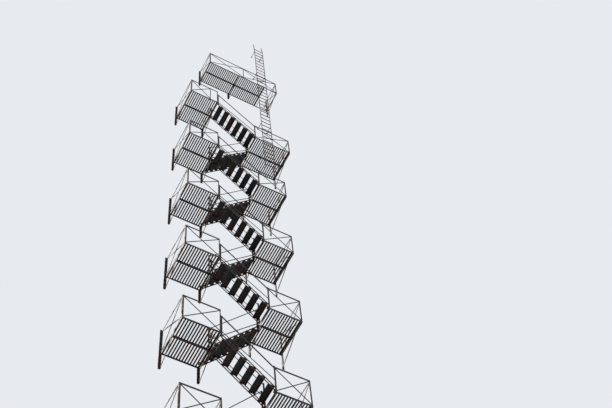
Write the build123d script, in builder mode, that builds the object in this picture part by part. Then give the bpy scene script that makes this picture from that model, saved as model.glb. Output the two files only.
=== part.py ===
"""Iron fire escape: six balconies, five half landings, ten flights, a top platform and two ladders.

Frame: X runs along the wall, Y=0 is the wall face and the stair stands out towards -Y, Z is up.
Z=0 is the lowest balcony's walking surface and X=0 the middle of its left wall angle.
All sizes are in millimetres.
"""

from build123d import *
import math
import os

os.makedirs("parts", exist_ok=True)

# Stair
balconies = 6
riser = 200.0
upper_risers = 7
lower_risers = 9
flight_run = 1280.0
stringer_width = 120.0
stringer_thickness = 10.0
stringer_below_nosing = 20.0
stringer_off_wall = 20.0
flight_gap = 24.0
tread_depth = 165.0
tread_thickness = 6.0
tread_lip = 34.0
tread_clearance = 6.0
handrail_height = 660.0
middle_rail_at_head = 70.0
middle_rail_at_foot = 220.0
newel_root = 100.0
foot_newel_rise = 50.0

# Decks
balcony_width = 935.0
landing_width = 895.0
top_landing_width = 1230.0
deck_depth = 1092.0
frame_depth = 60.0
edge_bar = 10.0
slat_thickness = 8.0
slat_pitch = 68.0
slot_width = 30.0
middle_bar_depth = 50.0
middle_bar_width = 40.0

# Railings
rail_height = 870.0
rail_bar = 44.0
post_width = 26.0
railing_thickness = 12.0
cross_bar = 20.0
end_cross_bar = 32.0
top_balcony_post = 670.0

# Wall angles and brackets
wall_angle_width = 60.0
wall_angle_thickness = 10.0
web_thickness = 12.0
wall_leg_width = 50.0
bracket_drop = 600.0
brace_reach = 0.66
arm_depth = 50.0
brace_width = 40.0
seat_width = 22.0
anchor_hole_radius = 9.0
anchor_spacing = 260.0
anchor_below_deck = 160.0

# Top platform
platform_rise = 4063.0
platform_left = 830.0
platform_width = 2640.0
platform_depth = 807.0
platform_bracket_drop = 500.0
hatch_width = 482.0
platform_middle_bracket = 1100.0
clip_depth = 40.0

# Ladders
ladder_width = 347.0
ladder_off_wall = 274.0
ladder_rail = 40.0
ladder_rail_thickness = 12.0
rung_pitch = 304.8
rung_size = 20.0
ladder_above_platform = 5880.0
ladder_lean_height = 600.0
ladder_lean = 60.0
first_rung = 300.0
standoff_height = 40.0
standoff_start = 1200.0
standoff_pitch = 2300.0
drop_ladder_width = 380.0
drop_ladder_foot = 3300.0

# Places that follow from the sizes
upper_rise = upper_risers * riser
storey_height = (upper_risers + lower_risers) * riser
deck_left = wall_angle_width / 2
deck_right = deck_left + balcony_width
landing_left = deck_right + flight_run
inner_face = wall_angle_thickness
railing_face = deck_depth - railing_thickness
middle_line = (inner_face + railing_face) / 2


def write(part, label):
    """Labels a finished piece and writes its file."""
    part.label = label
    export_step(part, f"parts/{label}.step")


def balcony_level(number):
    """Height of a balcony's walking surface, counted from the lowest."""
    return (number - 1) * storey_height


def landing_level(number):
    """Height of the half landing that stands between balcony number and the next one up."""
    return balcony_level(number + 1) - upper_rise


def raised(piece, level):
    """A copy of a piece that was built at height zero."""
    return piece.moved(Location((0, 0, level)))


def gather(pieces):
    """One node made of like pieces that stand apart."""
    return Compound(children=list(pieces))


def flat_bar(start, end, width):
    """Adds a straight bar, seen on its broad side, to the sketch that is open."""
    run = end[0] - start[0]
    rise = end[1] - start[1]
    middle = ((start[0] + end[0]) / 2, (start[1] + end[1]) / 2)
    with Locations(Location((middle[0], middle[1], 0), (0, 0, math.degrees(math.atan2(rise, run))))):
        Rectangle(math.hypot(run, rise), width)


def upright_box(left, right, bottom, top):
    """Adds a box outline between four edges to the sketch that is open."""
    with Locations(((left + right) / 2, (bottom + top) / 2)):
        Rectangle(right - left, top - bottom)


def crossed_bars(left, right, bottom, top, width=cross_bar):
    """Adds two thin bars that join the opposite corners of a bay to the open sketch."""
    flat_bar((left, bottom), (right, top), width)
    flat_bar((left, top), (right, bottom), width)


def deck(left, right, depth):
    """A slatted floor from the wall to the railing, with an upright bar around its edge."""
    width = right - left
    length = depth - inner_face
    slots = math.floor((width - 2 * edge_bar) / slat_pitch)
    slot_length = length - 2 * edge_bar
    centre = ((left + right) / 2, -inner_face - length / 2)
    with BuildPart() as floor:
        with BuildSketch(Plane.XY):
            with Locations(centre):
                Rectangle(width, length)
                with GridLocations(slat_pitch, 0, slots, 1):
                    Rectangle(slot_width, slot_length, mode=Mode.SUBTRACT)
        extrude(amount=-slat_thickness)
        with BuildSketch(Plane.XY.offset(-slat_thickness)):
            with Locations(centre):
                Rectangle(width, length)
                Rectangle(width - 2 * edge_bar, slot_length, mode=Mode.SUBTRACT)
        extrude(amount=slat_thickness - frame_depth)
    return floor.part


def middle_bar(left, right, depth):
    """The bar under the middle of a deck's slats, from one edge bar to the other."""
    with BuildPart() as bar:
        with BuildSketch(Plane.XY.offset(-slat_thickness)):
            with Locations(((left + right) / 2, -(inner_face + depth) / 2)):
                Rectangle(right - left - 2 * edge_bar, middle_bar_width)
        extrude(amount=-middle_bar_depth)
    return bar.part


def treads(direction, start_x, inner, outer, risers):
    """The steps of one flight, each a plate with two turned-down lips, hung between the flight's sides."""
    going = flight_run / (risers - 1)
    depth = min(tread_depth, going - tread_clearance)
    with BuildPart() as steps:
        with BuildSketch(Plane.XZ.offset(inner)):
            for step in range(1, risers):
                nosing = start_x + direction * step * going
                heel = nosing - direction * depth
                left = min(nosing, heel)
                right = max(nosing, heel)
                upright_box(left, right, -step * riser - tread_lip, -step * riser)
                with Locations(((left + right) / 2, -step * riser - (tread_lip + tread_thickness) / 2)):
                    Rectangle(depth - 2 * tread_thickness, tread_lip - tread_thickness, mode=Mode.SUBTRACT)
        extrude(amount=outer - inner)
    return steps.part


def flight_side(direction, start_x, risers, face, handrail):
    """One side of a flight: the stringer and, where a handrail's width is given, two newels and two rails.

    The stringer is cut upright at its head, which stands against the upper deck's edge, and level at
    its foot, which stands on the lower deck.
    """
    slope = (risers - 1) * riser / flight_run
    depth = stringer_width * math.hypot(1, slope)
    head = -stringer_below_nosing
    foot = -risers * riser
    toe = flight_run + rail_bar
    heel = (head - depth - foot) / slope
    outline = [(0, head), (toe, head - slope * toe), (toe, foot), (heel, foot), (0, head - depth)]
    with BuildPart() as side:
        with BuildSketch(Plane.XZ.offset(face)):
            Polygon(*[(start_x + direction * along, height) for along, height in outline], align=None)
            if handrail:
                ends = []
                for along in (rail_bar / 2, toe - rail_bar / 2):
                    ends.append((start_x + direction * along, -slope * along))
                for (newel_x, nosing), bottom, rise in zip(ends, (-newel_root, foot), (0, foot_newel_rise)):
                    newel_top = nosing + handrail_height + rail_bar / 2 + rise
                    upright_box(newel_x - rail_bar / 2, newel_x + rail_bar / 2, bottom, newel_top)
                rail_ends = [(newel_x, nosing + handrail_height) for newel_x, nosing in ends]
                flat_bar(rail_ends[0], rail_ends[1], handrail)
                flat_bar((ends[0][0], ends[0][1] + middle_rail_at_head),
                         (ends[1][0], ends[1][1] + middle_rail_at_foot), cross_bar)
        extrude(amount=stringer_thickness)
    return side.part


def front_railing(left, right, face, inner_posts=(), crossed=1):
    """A railing on a deck's outer edge: posts, top rail and crossed bars in the first bays."""
    posts = [left + post_width / 2, *inner_posts, right - post_width / 2]
    with BuildPart() as railing:
        with BuildSketch(Plane.XZ.offset(face)):
            upright_box(left, right, rail_height - rail_bar, rail_height)
            for post in posts:
                upright_box(post - post_width / 2, post + post_width / 2, 0, rail_height)
            for bay in range(crossed):
                crossed_bars(posts[bay], posts[bay + 1], cross_bar, rail_height - rail_bar)
        extrude(amount=railing_thickness)
    return railing.part


def end_frame(middle, side, depth, drop, anchored=False):
    """An end frame in one plane: wall leg, arm, brace and corner post, top rail and crossed bars.

    The web stands at the side of the wall angle that faces the deck, and a seat turned in under the
    deck carries its edge.
    """
    web_near = middle + side * wall_angle_width / 2
    web_left = min(web_near, web_near - side * web_thickness)
    seat = -frame_depth
    with BuildPart() as frame:
        with BuildSketch(Plane.YZ.offset(web_left)):
            upright_box(-wall_leg_width, 0, -drop, rail_height)
            upright_box(-depth, 0, seat - wall_angle_thickness, 0)
            upright_box(-depth, -depth + rail_bar, seat, rail_height)
            upright_box(-depth, 0, rail_height - rail_bar, rail_height)
            crossed_bars(-depth + rail_bar / 2, -wall_leg_width / 2, 0, rail_height - rail_bar, end_cross_bar)
            brace_foot = (-wall_leg_width / 2, -drop + brace_width)
            flat_bar(brace_foot, (-depth * brace_reach, seat), brace_width)
        extrude(amount=web_thickness)
        with BuildSketch(Plane.XY.offset(seat)):
            upright_box(min(web_near, web_near + side * seat_width),
                        max(web_near, web_near + side * seat_width), -depth, -inner_face)
        extrude(amount=-wall_angle_thickness)
        with BuildSketch(Plane.XZ):
            upright_box(middle - wall_angle_width / 2, middle + wall_angle_width / 2, -drop, rail_height)
        extrude(amount=wall_angle_thickness)
        if anchored:
            with BuildSketch(Plane.XZ):
                hole_x = middle - side * web_thickness / 2
                with Locations((hole_x, -anchor_below_deck), (hole_x, -anchor_below_deck - anchor_spacing)):
                    Circle(anchor_hole_radius)
            extrude(amount=wall_angle_thickness, mode=Mode.SUBTRACT)
    return frame.part


def bracket(middle, side, depth, drop):
    """A short bracket under a deck: wall leg, arm and brace."""
    web_near = middle + side * wall_angle_width / 2
    web_left = min(web_near, web_near - side * web_thickness)
    seat = -frame_depth
    with BuildPart() as frame:
        with BuildSketch(Plane.YZ.offset(web_left)):
            upright_box(-wall_leg_width, 0, -drop, seat)
            upright_box(-depth, 0, seat - arm_depth, seat)
            brace_foot = (-wall_leg_width / 2, -drop + brace_width)
            flat_bar(brace_foot, (-depth * brace_reach, seat - arm_depth / 2), brace_width)
        extrude(amount=web_thickness)
        with BuildSketch(Plane.XZ):
            upright_box(middle - wall_angle_width / 2, middle + wall_angle_width / 2, -drop, seat)
        extrude(amount=wall_angle_thickness)
    return frame.part


def end_guard(face, near, far):
    """A short railing across part of a balcony's right end: two posts, top rail and crossed bars."""
    posts = (-far + post_width / 2, -near - post_width / 2)
    with BuildPart() as guard:
        with BuildSketch(Plane.YZ.offset(face - railing_thickness)):
            for post in posts:
                upright_box(post - post_width / 2, post + post_width / 2, 0, rail_height)
            upright_box(-far, -near, rail_height - rail_bar, rail_height)
            crossed_bars(posts[0], posts[1], cross_bar, rail_height - rail_bar)
        extrude(amount=railing_thickness)
    return guard.part


# Heights and places of the repeated pieces
balcony_numbers = range(1, balconies + 1)
landing_numbers = range(1, balconies)
balcony_levels = [balcony_level(number) for number in balcony_numbers]
landing_levels = [landing_level(number) for number in landing_numbers]
landing_right = landing_left + landing_width
top_landing_right = landing_left + top_landing_width
platform_level = balcony_levels[-1] + platform_rise
platform_right = platform_left + platform_width
hatch_left = platform_right - hatch_width

# Decks, the highest half landing wider because the roof ladder stands on it
balcony_deck = deck(deck_left, deck_right, deck_depth)
for number in balcony_numbers:
    write(raised(balcony_deck, balcony_level(number)), f"balcony_{number}_deck")
landing_deck = deck(landing_left, landing_right, deck_depth)
top_landing_deck = deck(landing_left, top_landing_right, deck_depth)
for number in landing_numbers:
    floor = top_landing_deck if number == balconies - 1 else landing_deck
    write(raised(floor, landing_level(number)), f"landing_{number}_deck")
write(raised(deck(platform_left, hatch_left, platform_depth), platform_level), "top_platform_deck")
balcony_bar = middle_bar(deck_left, deck_right, deck_depth)
landing_bar = middle_bar(landing_left, landing_right, deck_depth)
bars = [raised(balcony_bar, level) for level in balcony_levels]
bars += [raised(landing_bar, level) for level in landing_levels[:-1]]
bars.append(raised(middle_bar(landing_left, top_landing_right, deck_depth), landing_levels[-1]))
bars.append(raised(middle_bar(platform_left, hatch_left, platform_depth), platform_level))
write(gather(bars), "deck_middle_bars")

# Flights: the upper one of a storey in the outer half, the lower one beside the wall
upper_outer_face = railing_face - stringer_thickness
upper_inner_face = middle_line + flight_gap / 2
lower_outer_face = middle_line - flight_gap / 2 - stringer_thickness
lower_inner_face = inner_face + stringer_off_wall
upper_treads = treads(1, deck_right, upper_inner_face + stringer_thickness, upper_outer_face, upper_risers)
lower_treads = treads(-1, landing_left, lower_inner_face + stringer_thickness, lower_outer_face, lower_risers)
upper_sides = [flight_side(1, deck_right, upper_risers, upper_outer_face, rail_bar),
               flight_side(1, deck_right, upper_risers, upper_inner_face, cross_bar)]
lower_sides = [flight_side(-1, landing_left, lower_risers, lower_outer_face, cross_bar),
               flight_side(-1, landing_left, lower_risers, lower_inner_face, None)]
for number in landing_numbers:
    upper_top = balcony_level(number + 1)
    lower_top = landing_level(number)
    write(gather([raised(upper_treads, upper_top), raised(lower_treads, lower_top)]), f"storey_{number}_treads")
    write(gather(raised(side, upper_top) for side in upper_sides), f"storey_{number}_upper_sides")
    write(gather(raised(side, lower_top) for side in lower_sides), f"storey_{number}_lower_sides")

# Railings
balcony_railing = front_railing(deck_left, deck_right, railing_face)
top_balcony_railing = front_railing(deck_left, deck_right, railing_face, [deck_left + top_balcony_post])
landing_railing = front_railing(landing_left, landing_right, railing_face)
top_landing_railing = front_railing(landing_left, top_landing_right, railing_face)
write(gather([raised(balcony_railing, level) for level in balcony_levels[:-1]]
             + [raised(top_balcony_railing, balcony_levels[-1])]), "balcony_front_railings")
write(gather([raised(landing_railing, level) for level in landing_levels[:-1]]
             + [raised(top_landing_railing, landing_levels[-1])]), "landing_front_railings")
lowest_guard = end_guard(deck_right, upper_inner_face, railing_face)
top_guard = end_guard(deck_right, inner_face, lower_outer_face + stringer_thickness)
write(gather([raised(lowest_guard, balcony_levels[0]), raised(top_guard, balcony_levels[-1])]), "balcony_end_guards")

# End frames on the outer ends, short brackets on the ends where the flights start
half_angle = wall_angle_width / 2
balcony_frame = end_frame(deck_left - half_angle, 1, deck_depth, bracket_drop, anchored=True)
landing_frame = end_frame(landing_right + half_angle, -1, deck_depth, bracket_drop)
top_landing_frame = end_frame(top_landing_right + half_angle, -1, deck_depth, bracket_drop)
write(gather(raised(balcony_frame, level) for level in balcony_levels), "balcony_end_frames")
write(gather([raised(landing_frame, level) for level in landing_levels[:-1]]
             + [raised(top_landing_frame, landing_levels[-1])]), "landing_end_frames")
balcony_bracket = bracket(deck_right - half_angle, 1, deck_depth, bracket_drop)
landing_bracket = bracket(landing_left + half_angle, -1, deck_depth, bracket_drop)
write(gather(raised(balcony_bracket, level) for level in balcony_levels), "balcony_brackets")
write(gather(raised(landing_bracket, level) for level in landing_levels), "landing_brackets")

# Top platform, with an open bay at its right end for the ladder
with BuildPart() as hatch_bars:
    with BuildSketch(Plane.XY.offset(platform_level)):
        upright_box(hatch_left, platform_right, -inner_face - edge_bar, -inner_face)
        upright_box(hatch_left, platform_right, -platform_depth, -platform_depth + edge_bar)
    extrude(amount=-frame_depth)
write(hatch_bars.part, "top_platform_hatch_bars")
platform_railing = front_railing(platform_left, platform_right, platform_depth - railing_thickness,
                                 [(platform_left + platform_right) / 2], crossed=2)
write(raised(platform_railing, platform_level), "top_platform_front_railing")
platform_frames = [end_frame(platform_left - half_angle, 1, platform_depth, platform_bracket_drop),
                   end_frame(platform_right + half_angle, -1, platform_depth, platform_bracket_drop)]
write(gather(raised(frame, platform_level) for frame in platform_frames), "top_platform_end_frames")
write(raised(bracket(platform_left + platform_middle_bracket, 1, platform_depth, platform_bracket_drop),
             platform_level), "top_platform_middle_bracket")

# Roof ladder, from the highest half landing through the open bay to the roof's edge
ladder_foot = landing_levels[-1]
lean_start = platform_level + ladder_above_platform - ladder_lean_height
ladder_middle = platform_right - hatch_width / 2
ladder_left = ladder_middle - ladder_width / 2
rail_lefts = (ladder_left - ladder_rail_thickness, ladder_left + ladder_width)
ladder_outer = ladder_off_wall + ladder_rail / 2
ladder_inner = ladder_off_wall - ladder_rail / 2
with BuildPart() as roof_ladder:
    for rail_left in rail_lefts:
        with BuildSketch(Plane.YZ.offset(rail_left)):
            upright_box(-ladder_outer, -ladder_inner, ladder_foot, lean_start)
        extrude(amount=ladder_rail_thickness)
    rungs = math.floor((lean_start - ladder_foot - first_rung) / rung_pitch)
    with BuildSketch(Plane.YZ.offset(ladder_left)):
        for rung in range(rungs + 1):
            with Locations((-ladder_off_wall, ladder_foot + first_rung + rung * rung_pitch)):
                Rectangle(rung_size, rung_size)
    extrude(amount=ladder_width)
write(roof_ladder.part, "roof_ladder")

# Upper ends of the ladder's rails, which lean in over the roof's edge
with BuildPart() as ladder_tops:
    for rail_left in rail_lefts:
        with BuildSketch(Plane.YZ.offset(rail_left)):
            Polygon((-ladder_outer, lean_start), (-ladder_inner, lean_start),
                    (ladder_lean - ladder_inner, lean_start + ladder_lean_height),
                    (ladder_lean - ladder_outer, lean_start + ladder_lean_height), align=None)
        extrude(amount=ladder_rail_thickness)
write(ladder_tops.part, "roof_ladder_tops")

# Stand-offs that hold the ladder to the wall, and clips that hold it to the top platform
standoffs = math.floor((lean_start - ladder_foot - standoff_start) / standoff_pitch) + 1
with BuildPart() as ladder_standoffs:
    for number in range(standoffs):
        middle = ladder_foot + standoff_start + number * standoff_pitch
        for rail_left in rail_lefts:
            with BuildSketch(Plane.YZ.offset(rail_left)):
                upright_box(-ladder_inner, 0, middle - standoff_height / 2, middle + standoff_height / 2)
            extrude(amount=ladder_rail_thickness)
            pad_middle = rail_left + ladder_rail_thickness / 2
            with BuildSketch(Plane.XZ):
                with Locations((pad_middle, middle)):
                    Rectangle(wall_angle_width, wall_angle_width)
            extrude(amount=wall_angle_thickness)
write(ladder_standoffs.part, "roof_ladder_standoffs")
with BuildPart() as ladder_clips:
    for rail_left in rail_lefts:
        with BuildSketch(Plane.YZ.offset(rail_left)):
            upright_box(-ladder_inner, -inner_face - edge_bar, platform_level - frame_depth,
                        platform_level - frame_depth + clip_depth)
        extrude(amount=ladder_rail_thickness)
write(ladder_clips.part, "top_platform_ladder_clips")

# Drop ladder, let down from the lowest balcony's right end to the ground
drop_middle = (upper_inner_face + railing_face) / 2
drop_near = drop_middle - drop_ladder_width / 2
with BuildPart() as drop_ladder:
    for rail_near in (drop_near - ladder_rail_thickness, drop_near + drop_ladder_width):
        with BuildSketch(Plane.XZ.offset(rail_near)):
            upright_box(deck_right, deck_right + ladder_rail, -drop_ladder_foot, rail_height)
        extrude(amount=ladder_rail_thickness)
    drop_rungs = math.floor((drop_ladder_foot - first_rung) / rung_pitch)
    with BuildSketch(Plane.XZ.offset(drop_near)):
        for rung in range(drop_rungs + 1):
            with Locations((deck_right + ladder_rail / 2, -drop_ladder_foot + first_rung + rung * rung_pitch)):
                Rectangle(rung_size, rung_size)
    extrude(amount=drop_ladder_width)
write(drop_ladder.part, "drop_ladder")
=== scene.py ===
"""Looks of the iron fire escape: worn black paint and rust, its fastenings, the light and the camera."""

import bmesh
import bpy
import math
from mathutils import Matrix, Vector


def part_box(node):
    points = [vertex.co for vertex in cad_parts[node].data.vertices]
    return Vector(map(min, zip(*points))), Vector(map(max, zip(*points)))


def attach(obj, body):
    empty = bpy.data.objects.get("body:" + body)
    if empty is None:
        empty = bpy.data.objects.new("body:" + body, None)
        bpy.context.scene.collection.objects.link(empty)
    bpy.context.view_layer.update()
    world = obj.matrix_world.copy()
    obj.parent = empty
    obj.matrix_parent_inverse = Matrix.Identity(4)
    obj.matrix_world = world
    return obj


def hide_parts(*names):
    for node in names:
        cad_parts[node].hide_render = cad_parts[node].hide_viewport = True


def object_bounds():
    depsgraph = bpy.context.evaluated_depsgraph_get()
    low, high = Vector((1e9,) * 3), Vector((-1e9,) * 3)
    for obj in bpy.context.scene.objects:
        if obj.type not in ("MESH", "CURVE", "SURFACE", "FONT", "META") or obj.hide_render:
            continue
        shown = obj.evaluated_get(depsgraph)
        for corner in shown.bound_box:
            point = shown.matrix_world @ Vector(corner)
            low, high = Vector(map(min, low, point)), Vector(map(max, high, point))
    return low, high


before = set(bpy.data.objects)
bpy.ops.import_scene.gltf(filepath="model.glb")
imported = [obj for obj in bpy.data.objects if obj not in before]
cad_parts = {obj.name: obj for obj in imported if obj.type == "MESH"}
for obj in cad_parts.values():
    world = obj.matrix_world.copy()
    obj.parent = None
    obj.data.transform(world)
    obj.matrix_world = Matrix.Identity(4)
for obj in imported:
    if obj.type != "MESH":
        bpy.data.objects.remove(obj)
cad_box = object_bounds()

# Sizes of the stair in metres, under the names that the part's source gives them
riser = 0.200
upper_risers = 7
lower_risers = 9
flight_run = 1.280
stringer_width = 0.120
stringer_thickness = 0.010
stringer_below_nosing = 0.020
stringer_off_wall = 0.020
flight_gap = 0.024
tread_depth = 0.165
tread_thickness = 0.006
tread_clearance = 0.006
handrail_height = 0.660
middle_rail_at_head = 0.070
middle_rail_at_foot = 0.220
foot_newel_rise = 0.050
frame_depth = 0.060
edge_bar = 0.010
slat_pitch = 0.068
rail_height = 0.870
rail_bar = 0.044
post_width = 0.026
railing_thickness = 0.012
cross_bar = 0.020
top_balcony_post = 0.670
wall_angle_width = 0.060
wall_angle_thickness = 0.010
web_thickness = 0.012
wall_leg_width = 0.050
bracket_drop = 0.600
brace_reach = 0.66
brace_width = 0.040
anchor_spacing = 0.260
anchor_below_deck = 0.160
platform_bracket_drop = 0.500
hatch_width = 0.482
clip_depth = 0.040
ladder_rail_thickness = 0.012
rung_pitch = 0.3048
first_rung = 0.300
standoff_start = 1.200
standoff_pitch = 2.300

# Two sloping bars on each side of a flight: how wide they are, and how far their middles lie below the
# line of the nosings, both square to the slope
stringer_bar = 0.032
stringer_bar_drops = (0.032, 0.114)
chamfer = 0.0012

# Anchors and rivets of the end frames and brackets: heights are from the deck's level, and a crossed
# bar's rivets lie at a share of its length from each end
frame_anchors = (-anchor_below_deck, -anchor_below_deck - anchor_spacing, 0.330, 0.720)
bracket_anchors = (-0.190, -0.450)
post_foot_rivet = -0.035
arm_root_rivets = (-0.022, -0.050)
frame_arm_rivet = -0.048
bracket_arm_rivet = -0.085
frame_brace_rivet = 0.018
bracket_brace_rivet = 0.020
brace_foot_rivet = 1.4 * brace_width
frame_cross_rivet = 0.045

# Rivets of the decks and railings, and the shoes of the posts
slat_rivet_inset = 1.6 * edge_bar
end_slat_shift = 0.006
railing_cross_rivet = 0.035
shoe_inset = 0.006
shoe_plate = 0.004
shoe_rivet = 0.026

# Rivets of the treads, cleats at a flight's head, angles at its foot, and bolts through its sides
tread_side_rivet = 0.022
tread_rivet_shares = (0.24, 0.76)
tread_rivet_inset = 0.017
cleat_plate = 0.005
cleat_drop = 0.068
cleat_rivet_drops = (0.046, 0.090)
cleat_rivet_on_deck = 0.026
cleat_rivet_on_side = 0.028
foot_angle_inset = 0.062
foot_rivet = 0.030
head_bolt_inset = 0.030
head_bolt_drops = (0.062, 0.102)
foot_bolt_lifts = (0.045, 0.110)

# Fastenings of the roof ladder
ladder_foot_bolt = 0.030
splice_plate = 0.004
splice_rivets = (-0.033, -0.013, 0.013, 0.033)
standoff_bolts = (-0.018, 0.018)

# Ways that pieces face
X = Vector((1, 0, 0))
Y = Vector((0, 1, 0))
Z = Vector((0, 0, 1))


class Link:
    """A node's output; arithmetic on it adds Math nodes to its tree."""

    def __init__(self, net, socket):
        self.net = net
        self.socket = socket

    def output(self, name):
        """Another output of the same node."""
        return Link(self.net, self.socket.node.outputs[name])

    def larger(self, other):
        return self.net.maths("MAXIMUM", self, other)

    def __add__(self, other):
        return self.net.maths("ADD", self, other)

    def __sub__(self, other):
        return self.net.maths("SUBTRACT", self, other)

    def __rsub__(self, other):
        return self.net.maths("SUBTRACT", other, self)

    def __mul__(self, other):
        return self.net.maths("MULTIPLY", self, other)

    __radd__ = __add__
    __rmul__ = __mul__


class Net:
    """A node tree that one method fills."""

    def __init__(self, tree):
        self.tree = tree
        self.tree.nodes.clear()

    def node(self, kind, settings=None, sockets=None, output=0):
        """Adds a node: its settings first, then its sockets' values or links. Returns one output."""
        made = self.tree.nodes.new(kind)
        for name, value in (settings or {}).items():
            if name == "stops":
                for place, colour in value:
                    stop = made.color_ramp.elements.new(place)
                    stop.color = colour
                made.color_ramp.elements.remove(made.color_ramp.elements[0])
                made.color_ramp.elements.remove(made.color_ramp.elements[-1])
            else:
                setattr(made, name, value)
        for name, value in (sockets or {}).items():
            for one in value if isinstance(value, list) else [value]:
                if isinstance(one, Link):
                    self.tree.links.new(one.socket, made.inputs[name])
                else:
                    made.inputs[name].default_value = one
        return Link(self, made.outputs[output]) if made.outputs else made

    def maths(self, operation, first, second):
        return self.node("ShaderNodeMath", {"operation": operation}, {0: first, 1: second})


def noise(net, place, scale, detail, roughness):
    """Even noise between 0 and 1."""
    sockets = {"Vector": place, "Scale": scale, "Detail": detail, "Roughness": roughness}
    return net.node("ShaderNodeTexNoise", None, sockets)


def step(net, value, low, high):
    """A soft step from 0 at low to 1 at high."""
    return net.node("ShaderNodeMapRange", {"interpolation_type": "SMOOTHSTEP"},
                    {"Value": value, "From Min": low, "From Max": high})


def blend(net, mask, first, second):
    """The first colour where the mask is 0 and the second where it is 1.

    A Mix node has sockets of one name for each kind of value: inputs 6 and 7 and output 2 are its colours.
    """
    return net.node("ShaderNodeMix", {"data_type": "RGBA"}, {0: mask, 6: first, 7: second}, 2)


# Colours of the iron
deep_paint = (0.008, 0.008, 0.009, 1)
thin_paint = (0.024, 0.023, 0.025, 1)
stained_paint = (0.042, 0.021, 0.014, 1)
rust_colours = [(0.30, (0.030, 0.011, 0.007, 1)), (0.48, (0.095, 0.033, 0.014, 1)),
                (0.62, (0.175, 0.070, 0.027, 1)), (0.74, (0.260, 0.125, 0.055, 1))]
pale_dust = (0.150, 0.138, 0.122, 1)
bare_metal = (0.240, 0.232, 0.224, 1)


def painted_iron(name, seed, rust, wear, dust):
    """Old black paint on iron: rust in patches and runs, chipped edges, bright metal where it is touched."""
    material = bpy.data.materials.new(name)
    material.use_nodes = True
    net = Net(material.node_tree)

    # Noise of several sizes, and runs that are long from top to bottom
    place = net.node("ShaderNodeTexCoord", output="Object")
    shift = (seed * 7.3, seed * 3.1, seed * 5.7)
    own_place = net.node("ShaderNodeMapping", None, {"Vector": place, "Location": shift})
    runs_place = net.node("ShaderNodeMapping", None, {"Vector": own_place, "Scale": (22, 22, 1.6)})
    broad = noise(net, own_place, 1.7, 4, 0.55)
    patches = noise(net, own_place, 9, 7, 0.66)
    grain = noise(net, own_place, 95, 5, 0.62)
    pits = noise(net, own_place, 420, 3, 0.55)
    runs = noise(net, runs_place, 1, 4, 0.6)

    # Faces that look up, and edges, where a rounded normal leaves the flat one
    normal = net.node("ShaderNodeNewGeometry", output="Normal")
    up = net.node("ShaderNodeSeparateXYZ", None, {"Vector": normal}, "Z")
    rounded = net.node("ShaderNodeBevel", {"samples": 4}, {"Radius": 0.005})
    flat = net.node("ShaderNodeVectorMath", {"operation": "DOT_PRODUCT"}, {0: rounded, 1: normal}, "Value")
    edge = step(net, 1 - flat, 0.02, 0.24)

    # Masks of rust, of the stain around it, of bare metal and of settled dust
    rusty = broad * 0.45 + patches * 0.55 + grain * 0.16 + edge * 0.07 + runs * 0.16
    rusted = step(net, rusty, 0.735 - 0.12 * rust, 0.775 - 0.10 * rust)
    stained = step(net, rusty, 0.66 - 0.12 * rust, 0.775 - 0.10 * rust)
    rubbed = edge * 0.34 + patches * 0.42 + grain * 0.24 + up * 0.10 * wear
    bare = step(net, rubbed, 0.735 - 0.16 * wear, 0.79 - 0.15 * wear)
    settled = step(net, up, 0.3, 0.95) * step(net, patches * 0.6 + broad * 0.4, 0.36, 0.64) * dust

    paint = blend(net, patches, deep_paint, thin_paint)
    paint = blend(net, stained * 0.6, paint, stained_paint)
    rust_colour = net.node("ShaderNodeValToRGB", {"stops": rust_colours}, {0: grain})
    colour = blend(net, rusted, paint, rust_colour)
    colour = blend(net, settled * 0.55, colour, pale_dust)
    colour = blend(net, bare, colour, bare_metal)
    roughness = 0.40 + 0.22 * patches + 0.36 * rusted + 0.20 * settled - 0.22 * bare
    height = pits * 0.10 + grain * 0.22 + patches * 0.25 + rusted * 0.40 - bare * 0.30
    bump = net.node("ShaderNodeBump", None, {"Strength": 0.75, "Distance": 0.0012, "Height": height})
    shader = net.node("ShaderNodeBsdfPrincipled", None,
                      {"Base Color": colour, "Roughness": roughness, "Metallic": bare * 0.85,
                       "Specular IOR Level": 0.32, "Normal": bump})
    net.node("ShaderNodeOutputMaterial", None, {"Surface": shader})
    return material


deck_iron = painted_iron("deck_iron", 1, rust=0.48, wear=0.75, dust=0.9)
tread_iron = painted_iron("tread_iron", 2, rust=0.30, wear=1.0, dust=0.7)
stringer_iron = painted_iron("stringer_iron", 3, rust=0.55, wear=0.30, dust=0.4)
railing_iron = painted_iron("railing_iron", 4, rust=0.35, wear=0.85, dust=0.4)
bracket_iron = painted_iron("bracket_iron", 5, rust=0.55, wear=0.20, dust=0.6)
ladder_iron = painted_iron("ladder_iron", 6, rust=0.45, wear=0.90, dust=0.3)
fastening_iron = painted_iron("fastening_iron", 7, rust=1.05, wear=0.25, dust=0.3)

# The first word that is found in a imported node's name gives the node its finish
finishes = [("deck", deck_iron), ("middle_bars", deck_iron), ("hatch_bars", deck_iron),
            ("treads", tread_iron), ("sides", stringer_iron), ("railing", railing_iron),
            ("guards", railing_iron), ("frames", bracket_iron), ("bracket", bracket_iron),
            ("standoffs", bracket_iron), ("clips", bracket_iron), ("ladder", ladder_iron)]
for name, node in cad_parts.items():
    node.data.materials.clear()
    node.data.materials.append(next(iron for word, iron in finishes if word in name))


class Deck:
    """One slatted floor: its ends, its front edge and its level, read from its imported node."""

    def __init__(self, node):
        low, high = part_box(node)
        self.left = low.x
        self.right = high.x
        self.front = low.y
        self.level = high.z


balconies = [Deck(f"balcony_{number}_deck") for number in range(1, 7)]
landings = [Deck(f"landing_{number}_deck") for number in range(1, 6)]
platform = Deck("top_platform_deck")
platform_right = platform.right + hatch_width


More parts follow.
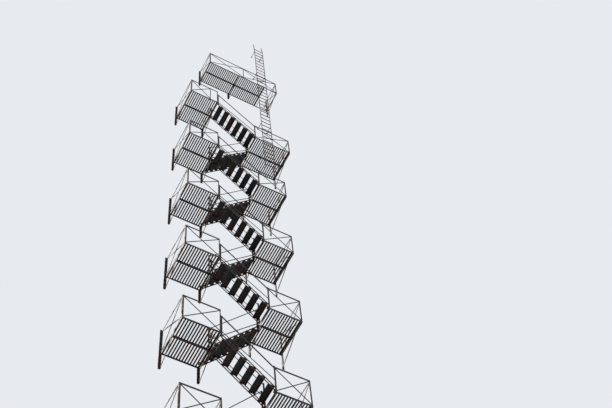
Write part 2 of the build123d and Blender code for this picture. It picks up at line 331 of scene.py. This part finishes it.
class Family:
    """Like small pieces: each has a place, the way that it faces and the way that its length runs."""

    def __init__(self):
        self.places = []

    def add(self, place, facing, along=None):
        if along is None:
            along = X if abs(facing.z) > 0.5 else Z
        self.places.append((Vector(place), Vector(facing), Vector(along)))


anchors = Family()
frame_rivets = Family()
small_rivets = Family()
slat_rivets = Family()
bolts = Family()
tread_angles = Family()
stair_cleats = Family()
post_shoes = Family()
foot_angles = Family()
splice_plates = Family()


def along_bar(start, end, share):
    """A point on a bar, at a share of its length."""
    return tuple(a + (b - a) * share for a, b in zip(start, end))


def cross_rivets(first, second, low, share):
    """Places of the rivets of two crossed bars between two posts: four near their ends, and the crossing."""
    high = rail_height - rail_bar
    rising = ((first, low), (second, high))
    falling = ((first, high), (second, low))
    ends = [along_bar(*bar, place) for bar in (rising, falling) for place in (share, 1 - share)]
    return ends, along_bar(*rising, 0.5)


def dress_end_frame(deck, middle, side, drop):
    """Anchors of a frame's angle, and rivets where its bars meet; side is the way from it to the deck."""
    outer_face = middle + side * (wall_angle_width / 2 - web_thickness)
    deck_face = middle + side * wall_angle_width / 2
    for height in frame_anchors:
        anchors.add((middle - side * web_thickness / 2, -wall_angle_thickness, deck.level + height), -Y)
    post_y = deck.front + rail_bar / 2
    leg_y = -wall_leg_width / 2
    rail_z = rail_height - rail_bar / 2
    ends, crossing = cross_rivets(post_y, leg_y, 0, frame_cross_rivet)
    through = [(post_y, rail_z), (leg_y, rail_z), (leg_y, -drop + brace_foot_rivet), crossing, *ends]
    outside = [(post_y, post_foot_rivet), *[(leg_y, height) for height in arm_root_rivets],
               (deck.front * brace_reach + frame_brace_rivet, frame_arm_rivet)]
    for y, z in through + outside:
        frame_rivets.add((outer_face, y, deck.level + z), -side * X)
    for y, z in through:
        frame_rivets.add((deck_face, y, deck.level + z), side * X)


def dress_bracket(deck, middle, side, drop):
    """Anchors and rivets of a short bracket under a deck; side is the way from its angle to its web."""
    outer_face = middle + side * wall_angle_width / 2
    inner_face = outer_face - side * web_thickness
    for height in bracket_anchors:
        anchors.add((middle - side * web_thickness / 2, -wall_angle_thickness, deck.level + height), -Y)
    leg_y = -wall_leg_width / 2
    for y, z in ((leg_y, bracket_arm_rivet), (leg_y, -drop + brace_foot_rivet),
                 (deck.front * brace_reach + bracket_brace_rivet, bracket_arm_rivet)):
        frame_rivets.add((inner_face, y, deck.level + z), -side * X)
        frame_rivets.add((outer_face, y, deck.level + z), side * X)


for deck in balconies:
    dress_end_frame(deck, deck.left - wall_angle_width / 2, 1, bracket_drop)
    dress_bracket(deck, deck.right - wall_angle_width / 2, 1, bracket_drop)
for deck in landings:
    dress_end_frame(deck, deck.right + wall_angle_width / 2, -1, bracket_drop)
    dress_bracket(deck, deck.left + wall_angle_width / 2, -1, bracket_drop)
dress_end_frame(platform, platform.left - wall_angle_width / 2, 1, platform_bracket_drop)
dress_end_frame(platform, platform_right + wall_angle_width / 2, -1, platform_bracket_drop)
middle_bracket_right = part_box("top_platform_middle_bracket")[1].x
dress_bracket(platform, middle_bracket_right - wall_angle_width / 2, 1, platform_bracket_drop)


def dress_deck(deck):
    """Rivets that hold each slat to the inner bar, the middle bar and the outer bar."""
    slats = math.floor((deck.right - deck.left - 2 * edge_bar) / slat_pitch) + 1
    centre = (deck.left + deck.right) / 2
    rows = (-wall_angle_thickness - slat_rivet_inset, (deck.front - wall_angle_thickness) / 2,
            deck.front + slat_rivet_inset)
    for number in range(slats):
        x = centre + (number - (slats - 1) / 2) * slat_pitch
        if number == 0:
            x += end_slat_shift
        elif number == slats - 1:
            x -= end_slat_shift
        for y in rows:
            slat_rivets.add((x, y, deck.level), Z)


for deck in balconies + landings + [platform]:
    dress_deck(deck)


def dress_panel(posts, level, along, out, face, share, crossed=1, inset=0.0):
    """Rivets and post shoes of a railing.

    Its posts stand at places along one way, its outer face lies at a place along the other way, out, and
    its first bays are crossed. The shoes of its end posts are set in.
    """
    def spot(place, behind, height):
        return place * along + (face - behind) * out + (level + height) * Z

    rivets = [(post, rail_height - rail_bar / 2) for post in posts]
    for first, second in list(zip(posts, posts[1:]))[:crossed]:
        ends, crossing = cross_rivets(first, second, cross_bar, share)
        rivets += [*ends, crossing]
    for place, height in rivets:
        small_rivets.add(spot(place, 0, height), out)
        small_rivets.add(spot(place, railing_thickness, height), -out)
    for post in posts:
        place = min(max(post, posts[0] + inset), posts[-1] - inset)
        post_shoes.add(spot(place, railing_thickness, 0), Z, along)
        small_rivets.add(spot(place, railing_thickness + shoe_plate, shoe_rivet), -out)
        small_rivets.add(spot(place, railing_thickness + shoe_rivet, shoe_plate), Z)


def dress_front_railing(deck, right, between=(), crossed=1):
    """The railing on a deck's front edge, from the deck's left end to a given right end."""
    posts = [deck.left + post_width / 2, *between, right - post_width / 2]
    dress_panel(posts, deck.level, X, -Y, -deck.front, railing_cross_rivet, crossed, shoe_inset)


def dress_end_guard(deck, back, front):
    """The short railing across part of a balcony's right end, between two places in its depth."""
    posts = [front + post_width / 2, back - post_width / 2]
    dress_panel(posts, deck.level, Y, X, deck.right, frame_cross_rivet)


# Planes in which the flights' sides lie: four faces of the two sides, from the front
railing_back = balconies[0].front + railing_thickness
middle_line = (railing_back - wall_angle_thickness) / 2
upper_faces = (railing_back, railing_back + stringer_thickness,
               middle_line - flight_gap / 2 - stringer_thickness, middle_line - flight_gap / 2)
inner_line = -wall_angle_thickness - stringer_off_wall
lower_faces = (middle_line + flight_gap / 2, middle_line + flight_gap / 2 + stringer_thickness,
               inner_line - stringer_thickness, inner_line)

for deck in balconies[:-1]:
    dress_front_railing(deck, deck.right)
top_balcony = balconies[-1]
dress_front_railing(top_balcony, top_balcony.right, [top_balcony.left + top_balcony_post])
for deck in landings:
    dress_front_railing(deck, deck.right)
dress_front_railing(platform, platform_right, [(platform.left + platform_right) / 2], crossed=2)
dress_end_guard(balconies[0], upper_faces[3], upper_faces[0])
dress_end_guard(top_balcony, -wall_angle_thickness, lower_faces[0])


class Flight:
    """A run of treads between two sides that slopes down from its head, to the right or the left."""

    def __init__(self, direction, start_x, level, risers, faces, handrails):
        self.direction = direction
        self.start_x = start_x
        self.level = level
        self.risers = risers
        self.faces = faces
        self.handrails = handrails
        self.slope = (risers - 1) * riser / flight_run
        self.steepness = math.hypot(1, self.slope)
        self.bar_drops = [drop * self.steepness for drop in stringer_bar_drops]
        self.toe = flight_run + rail_bar
        self.foot = -risers * riser

    def spot(self, along, y, height):
        """A point some way down the flight from its head; its height is from the upper deck's level."""
        return (self.start_x + self.direction * along, y, self.level + height)

    def middle_rail(self, along):
        """Height of a side's middle rail above the line of the nosings."""
        share = (along - rail_bar / 2) / flight_run
        return middle_rail_at_head + (middle_rail_at_foot - middle_rail_at_head) * share


def dress_treads(flight):
    """Angles under a flight's treads, and rivets on the treads and on the sloping bars."""
    going = flight_run / (flight.risers - 1)
    depth = min(tread_depth, going - tread_clearance)
    outer, outer_in, inner_in, inner = flight.faces
    for number in range(1, flight.risers):
        nosing = number * going
        surface = -number * riser
        for face, way in ((outer_in, 1), (inner_in, -1)):
            place = flight.spot(nosing - depth / 2, face, surface - tread_thickness)
            tread_angles.add(place, -Z, -way * X)
        for drop in flight.bar_drops:
            along = nosing - (drop - tread_side_rivet) / flight.slope
            small_rivets.add(flight.spot(along, outer, surface - tread_side_rivet), -Y)
            small_rivets.add(flight.spot(along, inner, surface - tread_side_rivet), Y)
        for share in tread_rivet_shares:
            along = nosing - depth * share
            small_rivets.add(flight.spot(along, outer_in + tread_rivet_inset, surface), Z)
            small_rivets.add(flight.spot(along, inner_in - tread_rivet_inset, surface), Z)


def dress_flight_ends(flight):
    """Cleats at a flight's head, angles at its foot, and bolts through its sides at both."""
    outer, outer_in, inner_in, inner = flight.faces
    downhill = flight.direction * X
    foot_middle = flight.toe - foot_angle_inset
    for face, way in ((outer_in, 1), (inner_in, -1)):
        stair_cleats.add(flight.spot(0, face, -cleat_drop), downhill, -way * flight.direction * Z)
        foot_angles.add(flight.spot(foot_middle, face, flight.foot), Z, way * X)
        small_rivets.add(flight.spot(foot_middle, face + way * foot_rivet, flight.foot + cleat_plate), Z)
        for drop in cleat_rivet_drops:
            small_rivets.add(flight.spot(cleat_plate, face + way * cleat_rivet_on_deck, -drop), downhill)
            small_rivets.add(flight.spot(cleat_rivet_on_side, face + way * cleat_plate, -drop), way * Y)
    for face, way in ((outer, -1), (inner, 1)):
        for drop in head_bolt_drops:
            bolts.add(flight.spot(head_bolt_inset, face, -drop), way * Y)
        for lift in foot_bolt_lifts:
            bolts.add(flight.spot(flight.toe - rail_bar / 2, face, flight.foot + lift), way * Y)


def dress_flight_rails(flight):
    """Rivets that hold the handrail and the middle rail of a side to its two posts."""
    for face, way, handrail in ((flight.faces[0], -1, flight.handrails[0]),
                                (flight.faces[3], 1, flight.handrails[1])):
        if not handrail:
            continue
        for along in (rail_bar / 2, flight.toe - rail_bar / 2):
            for rise in (handrail_height, flight.middle_rail(along)):
                height = rise - flight.slope * along
                small_rivets.add(flight.spot(along, face, height), way * Y)
                small_rivets.add(flight.spot(along, face - way * stringer_thickness, height), -way * Y)


class Ironwork:
    """Flat bars in upright planes that face the front, gathered into one mesh with chamfered edges."""

    def __init__(self):
        self.mesh = bmesh.new()

    def plate(self, outline, far):
        """A bar between an outline of corners and the plane y = far."""
        near_ring = [self.mesh.verts.new(corner) for corner in outline]
        far_ring = [self.mesh.verts.new((x, far, z)) for x, y, z in outline]
        faces = [self.mesh.faces.new(near_ring), self.mesh.faces.new(far_ring)]
        for first in range(len(outline)):
            second = (first + 1) % len(outline)
            side = (near_ring[first], near_ring[second], far_ring[second], far_ring[first])
            faces.append(self.mesh.faces.new(side))
        edges = list({edge for face in faces for edge in face.edges})
        bmesh.ops.bevel(self.mesh, geom=edges, offset=chamfer, segments=1, profile=0.5, affect="EDGES")

    def finished(self, name, finish):
        """The bars as a plain mesh."""
        bmesh.ops.recalc_face_normals(self.mesh, faces=self.mesh.faces)
        plain = bpy.data.meshes.new(name)
        self.mesh.to_mesh(plain)
        self.mesh.free()
        plain.materials.append(finish)
        return plain


def add_side(iron, flight, near, far, handrail):
    """One side of a flight: two sloping bars between two posts and, with a handrail's width, two rails."""
    ends = (rail_bar, flight_run)

    def bar(corners):
        iron.plate([flight.spot(along, near, height) for along, height in corners], far)

    def sloping_bar(rises, width):
        """Its two ends' heights are above the line of the nosings, and its width is square to the slope."""
        head, foot = (rise - flight.slope * along for rise, along in zip(rises, ends))
        half = width * flight.steepness / 2
        bar([(ends[0], head - half), (ends[1], foot - half), (ends[1], foot + half), (ends[0], head + half)])

    for drop in flight.bar_drops:
        sloping_bar((-drop, -drop), stringer_bar)
    tops = [-stringer_below_nosing - flight.slope * along for along in (0, *ends, flight.toe)]
    if handrail:
        sloping_bar((handrail_height, handrail_height), handrail)
        sloping_bar([flight.middle_rail(along) for along in ends], cross_bar)
        head_top = handrail_height + rail_bar / 2 - flight.slope * rail_bar / 2
        foot_nosing = -flight.slope * (flight.toe - rail_bar / 2)
        foot_top = handrail_height + rail_bar / 2 + foot_newel_rise + foot_nosing
        tops = [head_top, head_top, foot_top, foot_top]
    root = -stringer_below_nosing - stringer_width * flight.steepness
    bar([(0, root), (ends[0], root - flight.slope * ends[0]), (ends[0], tops[1]), (0, tops[0])])
    bar([(ends[1], flight.foot), (flight.toe, flight.foot), (flight.toe, tops[3]), (ends[1], tops[2])])


def stair_piece(name, mesh):
    """A finished mesh as a piece of the painted stair."""
    piece = bpy.data.objects.new(name, mesh)
    bpy.context.scene.collection.objects.link(piece)
    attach(piece, "root")
    return piece


def make_open_sides(flight, flight_name):
    """Both sides of a flight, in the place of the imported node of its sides."""
    iron = Ironwork()
    outer, outer_in, inner_in, inner = flight.faces
    add_side(iron, flight, outer, outer_in, flight.handrails[0])
    add_side(iron, flight, inner_in, inner, flight.handrails[1])
    name = f"{flight_name}_open_sides"
    piece = stair_piece(name, iron.finished(name, stringer_iron))
    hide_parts(f"{flight_name}_sides")


for number, landing in enumerate(landings, 1):
    balcony = balconies[number]
    upper_flight = Flight(1, balcony.right, balcony.level, upper_risers, upper_faces, (rail_bar, cross_bar))
    lower_flight = Flight(-1, landing.left, landing.level, lower_risers, lower_faces, (cross_bar, None))
    for word, flight in (("upper", upper_flight), ("lower", lower_flight)):
        dress_treads(flight)
        dress_flight_ends(flight)
        dress_flight_rails(flight)
        make_open_sides(flight, f"storey_{number}_{word}")


def rung_heights(foot, top):
    """Heights of a ladder's rungs, from its foot up."""
    rungs = math.floor((top - foot - first_rung) / rung_pitch) + 1
    return [foot + first_rung + number * rung_pitch for number in range(rungs)]


def splice(place, facing, along):
    """A plate that joins two bars, with two rivets on each side of the joint."""
    splice_plates.add(place, facing, along)
    for reach in splice_rivets:
        small_rivets.add(Vector(place) + along * reach + facing * splice_plate, facing)


# Roof ladder and drop ladder
ladder_low, ladder_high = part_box("roof_ladder")
ladder_y = (ladder_low.y + ladder_high.y) / 2
for z in rung_heights(ladder_low.z, ladder_high.z):
    small_rivets.add((ladder_low.x, ladder_y, z), -X)
    small_rivets.add((ladder_high.x, ladder_y, z), X)
drop_low, drop_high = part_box("drop_ladder")
drop_x = (drop_low.x + drop_high.x) / 2
for z in rung_heights(drop_low.z, balconies[0].level):
    small_rivets.add((drop_x, drop_low.y, z), -Y)
    small_rivets.add((drop_x, drop_high.y, z), Y)

standoffs = math.floor((ladder_high.z - ladder_low.z - standoff_start) / standoff_pitch) + 1
clip_level = platform.level - frame_depth + clip_depth / 2
for x, side in ((ladder_low.x, -1), (ladder_high.x, 1)):
    foot_angles.add((x, ladder_y, ladder_low.z), Z, -side * Y)
    small_rivets.add((x + side * foot_rivet, ladder_y, ladder_low.z + cleat_plate), Z)
    bolts.add((x + side * cleat_plate, ladder_y, ladder_low.z + ladder_foot_bolt), side * X)
    splice((x, ladder_high.y, clip_level), side * X, Y)
    splice((x, ladder_y, ladder_high.z), side * X, Z)
    for number in range(standoffs):
        z = ladder_low.z + standoff_start + number * standoff_pitch
        splice((x, ladder_high.y, z), side * X, Y)
        for shift in standoff_bolts:
            bolts.add((x - side * ladder_rail_thickness / 2 + shift, -wall_angle_thickness, z), -Y)


def vector(net, **parts):
    """A vector with the given X, Y and Z; those not given are 0."""
    return net.node("ShaderNodeCombineXYZ", None, parts)


def placed(net, mesh, **sockets):
    """A piece's mesh, moved or scaled."""
    return net.node("GeometryNodeTransform", None, {"Geometry": mesh, **sockets})


def rivet(net, given):
    """A button head: a flattened ball whose lower half is the shank's end in the bar."""
    ball = net.node("GeometryNodeMeshUVSphere", None,
                    {"Segments": 10, "Rings": 6, "Radius": given["Head radius"]})
    return placed(net, ball, Scale=vector(net, X=1.0, Y=1.0, Z=given["Flatness"]))


def nut(net, given):
    """A washer, a six-sided nut on it and the end of the bolt."""
    washer_height = given["Washer height"]
    nut_height = given["Nut height"]
    stud_height = given["Stud height"]
    parts = []
    for sides, radius, height, base in ((14, given["Washer radius"], washer_height, 0.0),
                                        (6, given["Nut radius"], nut_height, washer_height),
                                        (8, given["Stud radius"], stud_height, washer_height + nut_height)):
        body = net.node("GeometryNodeMeshCylinder", {"fill_type": "NGON"},
                        {"Vertices": sides, "Radius": radius, "Depth": height})
        parts.append(placed(net, body, Translation=vector(net, Z=height * 0.5 + base)))
    return net.node("GeometryNodeJoinGeometry", None, {"Geometry": parts})


def corner_block(net, length, out, up, inset):
    """A block along the local X axis, whose corner lies in from that axis both ways."""
    cube = net.node("GeometryNodeMeshCube", None, {"Size": vector(net, X=length, Y=out, Z=up)})
    return placed(net, cube, Translation=vector(net, Y=out * 0.5 + inset, Z=up * 0.5 + inset))


def angle(net, given):
    """A short length of angle bar: its corner lies on the local X axis, with one leg up and one leg out."""
    length = given["Length"]
    out_leg = given["Out leg"]
    up_leg = given["Up leg"]
    block = corner_block(net, length, out_leg, up_leg, 0.0)
    cut = corner_block(net, length * 2, out_leg, up_leg, given["Thickness"])
    return net.node("GeometryNodeMeshBoolean", {"operation": "DIFFERENCE"},
                    {"Mesh 1": block, "Mesh 2": [cut]})


def plate(net, given):
    """A flat plate with rounded corners: its length runs along the local X axis."""
    outline = net.node("GeometryNodeCurvePrimitiveQuadrilateral", {"mode": "RECTANGLE"},
                       {"Width": given["Length"], "Height": given["Width"]})
    rounded = net.node("GeometryNodeFilletCurve", {"mode": "POLY"},
                       {"Curve": outline, "Radius": given["Corner radius"], "Limit Radius": True, "Count": 3})
    face = net.node("GeometryNodeFillCurve", {"mode": "NGONS"}, {"Curve": rounded})
    raised = net.node("GeometryNodeExtrudeMesh", {"mode": "FACES"},
                      {"Mesh": face, "Offset Scale": given["Thickness"]})
    under = net.node("GeometryNodeFlipFaces", None, {"Mesh": face})
    whole = net.node("GeometryNodeJoinGeometry", None, {"Geometry": [raised, under]})
    return net.node("GeometryNodeMergeByDistance", None, {"Geometry": whole, "Distance": 0.0001})


def family_tree(name, build, *sizes):
    """A tree with named sizes: build makes one piece, and a copy stands at each point, turned its way."""
    tree = bpy.data.node_groups.new(name, "GeometryNodeTree")
    net = Net(tree)
    tree.interface.new_socket("Points", in_out="INPUT", socket_type="NodeSocketGeometry")
    for size in (*sizes, "Spin"):
        tree.interface.new_socket(size, in_out="INPUT", socket_type="NodeSocketFloat")
    tree.interface.new_socket("Finish", in_out="INPUT", socket_type="NodeSocketMaterial")
    tree.interface.new_socket("Pieces", in_out="OUTPUT", socket_type="NodeSocketGeometry")
    source = net.node("NodeGroupInput")
    given = {size: source.output(size) for size in ("Points", *sizes, "Spin", "Finish")}
    piece = build(net, given)
    facing, along = (net.node("GeometryNodeInputNamedAttribute", {"data_type": "FLOAT_VECTOR"}, {"Name": way})
                     for way in ("facing", "along"))
    turned = net.node("FunctionNodeAxesToRotation", {"primary_axis": "Z", "secondary_axis": "X"},
                      {"Primary Axis": facing, "Secondary Axis": along})
    # A nut turns by chance: inputs 2 and 3 and output 1 of a random value are its plain numbers
    chance = net.node("FunctionNodeRandomValue", {"data_type": "FLOAT"}, {2: 0.0, 3: math.tau, "Seed": 11}, 1)
    spin = net.node("FunctionNodeAxisAngleToRotation", None, {"Axis": Z, "Angle": chance * given["Spin"]})
    spun = net.node("FunctionNodeRotateRotation", {"rotation_space": "LOCAL"},
                    {"Rotation": turned, "Rotate By": spin})
    copies = net.node("GeometryNodeInstanceOnPoints", None,
                      {"Points": given["Points"], "Instance": piece, "Rotation": spun})
    real = net.node("GeometryNodeRealizeInstances", None, {"Geometry": copies})
    finished = net.node("GeometryNodeSetMaterial", None, {"Geometry": real, "Material": given["Finish"]})
    net.node("NodeGroupOutput", None, {0: finished})
    return tree


rivet_tree = family_tree("rivet_heads", rivet, "Head radius", "Flatness")
nut_tree = family_tree("nuts_on_washers", nut, "Washer radius", "Washer height", "Nut radius", "Nut height",
                       "Stud radius", "Stud height")
plate_tree = family_tree("joining_plates", plate, "Length", "Width", "Corner radius", "Thickness")
angle_tree = family_tree("angle_cleats", angle, "Up leg", "Out leg", "Thickness", "Length")


def make_family(name, family, tree, finish, spin=0.0, **sizes):
    """Turns a family's places into one plain mesh that rides on the stair."""
    points = bpy.data.meshes.new(name + "_places")
    points.from_pydata([place for place, facing, along in family.places], [], [])
    for way, column in (("facing", 1), ("along", 2)):
        values = [number for entry in family.places for number in entry[column]]
        points.attributes.new(way, "FLOAT_VECTOR", "POINT").data.foreach_set("vector", values)
    source = bpy.data.objects.new(name + "_places", points)
    bpy.context.scene.collection.objects.link(source)
    modifier = source.modifiers.new("copies", "NODES")
    modifier.node_group = tree
    wanted = {size.replace("_", " ").capitalize(): value for size, value in sizes.items()}
    wanted.update({"Spin": spin, "Finish": finish})
    for item in tree.interface.items_tree:
        if item.in_out == "INPUT" and item.name in wanted:
            modifier[item.identifier] = wanted[item.name]
    evaluated = source.evaluated_get(bpy.context.evaluated_depsgraph_get())
    plain = bpy.data.meshes.new_from_object(evaluated)
    source.modifiers.remove(modifier)
    bpy.data.objects.remove(source)
    plain.name = name
    for way in ("facing", "along"):
        if way in plain.attributes:
            plain.attributes.remove(plain.attributes[way])
    stair_piece(name, plain)


make_family("wall_anchor_nuts", anchors, nut_tree, fastening_iron, spin=1.0, washer_radius=0.0175,
            washer_height=0.003, nut_radius=0.0135, nut_height=0.012, stud_radius=0.008, stud_height=0.010)
make_family("stair_bolts", bolts, nut_tree, fastening_iron, spin=1.0, washer_radius=0.011,
            washer_height=0.0015, nut_radius=0.0085, nut_height=0.004, stud_radius=0.004, stud_height=0.0015)
make_family("frame_rivets", frame_rivets, rivet_tree, fastening_iron, head_radius=0.011, flatness=0.50)
make_family("railing_and_stair_rivets", small_rivets, rivet_tree, fastening_iron, head_radius=0.0075,
            flatness=0.50)
make_family("slat_rivets", slat_rivets, rivet_tree, deck_iron, head_radius=0.0075, flatness=0.36)
make_family("tread_angles", tread_angles, angle_tree, stringer_iron, up_leg=0.028, out_leg=0.030,
            thickness=0.004, length=0.150)
make_family("stair_cleats", stair_cleats, angle_tree, fastening_iron, up_leg=0.045, out_leg=0.045,
            thickness=cleat_plate, length=0.080)
make_family("post_shoes", post_shoes, angle_tree, railing_iron, up_leg=0.040, out_leg=0.040,
            thickness=shoe_plate, length=0.036)
make_family("stair_and_ladder_feet", foot_angles, angle_tree, fastening_iron, up_leg=0.050, out_leg=0.045,
            thickness=cleat_plate, length=0.038)
make_family("ladder_splice_plates", splice_plates, plate_tree, ladder_iron, length=0.078, width=0.032,
            corner_radius=0.006, thickness=splice_plate)

# Camera far below the stair, to the left
camera_data = bpy.data.cameras.new("camera")
camera_data.lens = 66.04
camera_data.sensor_width = 36.0
camera_data.clip_end = 500.0
camera = bpy.data.objects.new("camera", camera_data)
camera.location = (-5.483, -13.718, -17.254)
camera.rotation_euler = [math.radians(turn) for turn in (151.653, 4.262, -28.459)]
scene = bpy.context.scene
scene.collection.objects.link(camera)
scene.camera = camera
scene.view_settings.view_transform = "Standard"

# Round patch of pale floor under the drop ladder, which fades out to its rim and is clear from below
floor_centre = (1.7, 1.0, cad_box[0][2])
floor_radius = 5.15
floor_drop = 0.002
rim_corners = 96
fade_start = 0.35 * floor_radius
fade_end = 0.99 * floor_radius
floor_paint = bpy.data.materials.new("floor_paint")
floor_paint.use_nodes = True
floor_net = Net(floor_paint.node_tree)
floor_place = floor_net.node("ShaderNodeTexCoord", output="Object")
from_centre = floor_net.node("ShaderNodeVectorMath", {"operation": "SUBTRACT"},
                             {0: floor_place, 1: floor_centre})
distance = floor_net.node("ShaderNodeVectorMath", {"operation": "LENGTH"}, {0: from_centre}, "Value")
underside = floor_net.node("ShaderNodeNewGeometry", output="Backfacing")
faded = underside.larger(step(floor_net, distance, fade_start, fade_end))
solid = floor_net.node("ShaderNodeBsdfPrincipled", None,
                       {"Base Color": (0.70, 0.71, 0.73, 1), "Roughness": 0.9})
clear = floor_net.node("ShaderNodeBsdfTransparent")
floor_shader = floor_net.node("ShaderNodeMixShader", None, {0: faded, 1: solid, 2: clear})
floor_net.node("ShaderNodeOutputMaterial", None, {"Surface": floor_shader})

floor_x, floor_y, floor_z = floor_centre
rim = []
for number in range(rim_corners):
    turn = math.tau * number / rim_corners
    rim.append((floor_x + floor_radius * math.cos(turn), floor_y + floor_radius * math.sin(turn),
                floor_z - floor_drop))
floor_mesh = bpy.data.meshes.new("floor")
floor_mesh.from_pydata(rim, [], [range(rim_corners)])
floor_mesh.materials.append(floor_paint)
floor = bpy.data.objects.new("floor", floor_mesh)
scene.collection.objects.link(floor)

# Pale studio all round, which gives less light than the camera and reflections see in it, most from above
light_from_below = 0.18
light_from_above = 0.73
world = bpy.data.worlds.new("studio")
world.use_nodes = True
scene.world = world
studio = Net(world.node_tree)
camera_ray = studio.node("ShaderNodeLightPath", output="Is Camera Ray")
seen = camera_ray.larger(camera_ray.output("Is Glossy Ray"))
seen = seen.larger(camera_ray.output("Is Transmission Ray"))
heading = studio.node("ShaderNodeTexCoord", output="Generated")
heading_up = studio.node("ShaderNodeSeparateXYZ", None, {"Vector": heading}, "Z")
upward = step(studio, heading_up, -0.5, 0.9)
ambient = upward * (light_from_above - light_from_below) + light_from_below
pale = studio.node("ShaderNodeBackground", None, {"Color": (0.80, 0.83, 0.87, 1), "Strength": 1.0})
soft = studio.node("ShaderNodeBackground", None, {"Color": (0.84, 0.89, 1.0, 1), "Strength": ambient})
backdrop = studio.node("ShaderNodeMixShader", None, {0: seen, 1: soft, 2: pale})
studio.node("ShaderNodeOutputWorld", None, {"Surface": backdrop})

# Key light from the left, high up and a little behind the stair
key_data = bpy.data.lights.new("key", "SUN")
key_data.energy = 2.2
key_data.angle = math.radians(12)
key_data.color = (1.0, 0.95, 0.88)
key = bpy.data.objects.new("key", key_data)
key_from = Vector((-0.50, 0.44, 0.745))
key.rotation_euler = key_from.to_track_quat("Z", "Y").to_euler()
scene.collection.objects.link(key)
